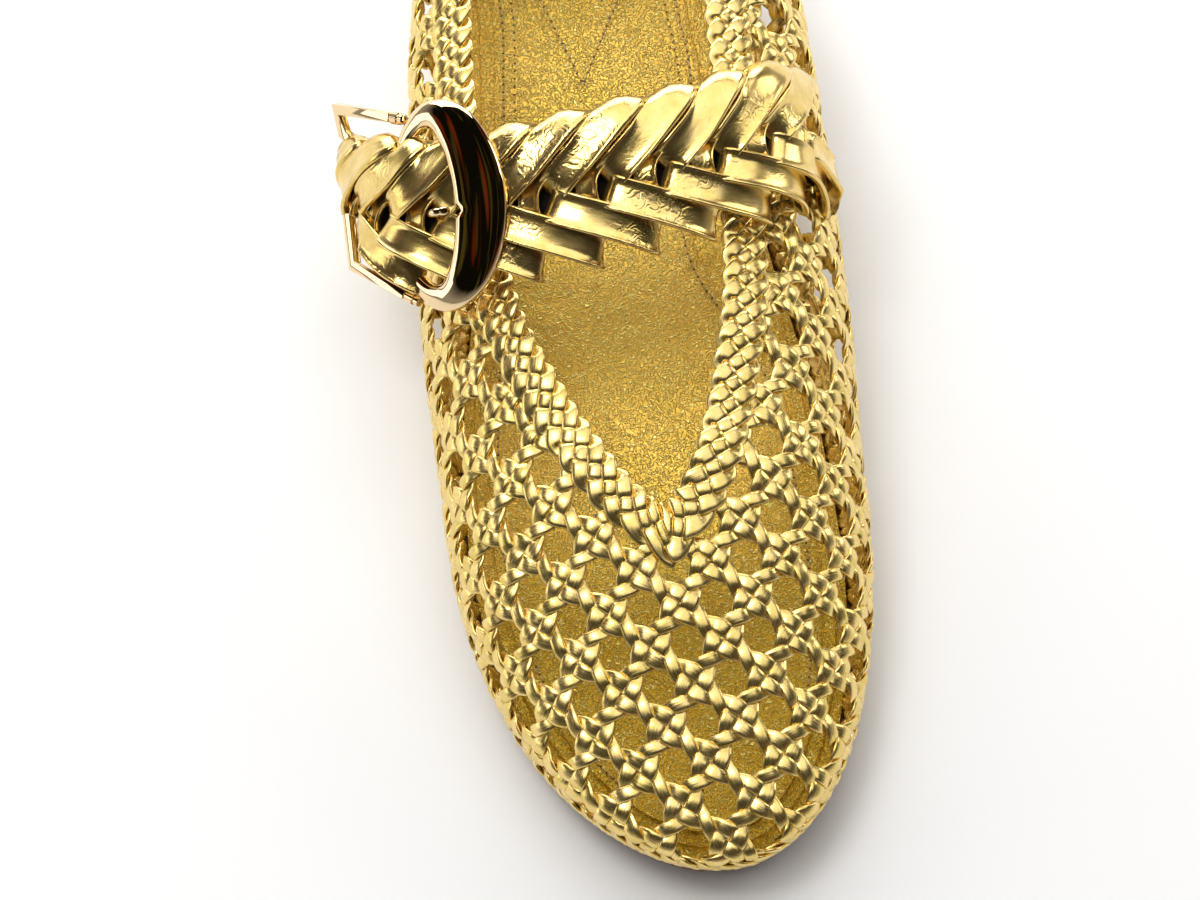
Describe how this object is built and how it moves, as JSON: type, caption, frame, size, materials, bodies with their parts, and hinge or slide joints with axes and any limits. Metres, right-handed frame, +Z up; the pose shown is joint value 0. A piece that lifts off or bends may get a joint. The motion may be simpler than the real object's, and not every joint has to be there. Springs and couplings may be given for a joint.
{
  "type": "ballet flat",
  "caption": "Right-foot ballet flat: hollow open-weave upper with a V throat and raised collar, low heel, and a braided strap held by an oval buckle.",
  "frame": {"origin": "on the ground, in the heel's flat underside, 30 mm in front of the back of the last", "axes": "+Z up, the toe points to -Y, +X is the shoe's inner (medial) side and -X its outer side, where the buckle is"},
  "size_m": [0.1107, 0.255, 0.0708],
  "materials": {
    "woven_leather": "gold foil, satin, on narrow rolled strips",
    "strap_leather": "pale gold foil, satin, lightly creased",
    "insole_leather": "gold foil, fine grain",
    "sole_leather": "brown, smooth, matt",
    "heel_leather": "brown, stacked, matt",
    "polished_gold": "pale gold, polished"
  },
  "bodies": {
    "root": {"outsole": "sole_leather", "heel": "heel_leather", "insole": "insole_leather", "upper": "woven_leather", "strap": "strap_leather", "buckle_ring": "polished_gold", "buckle_hinge_toe": "polished_gold", "buckle_hinge_heel": "polished_gold", "buckle_frame": "polished_gold", "buckle_prong": "polished_gold"}
  },
  "joints": []
}
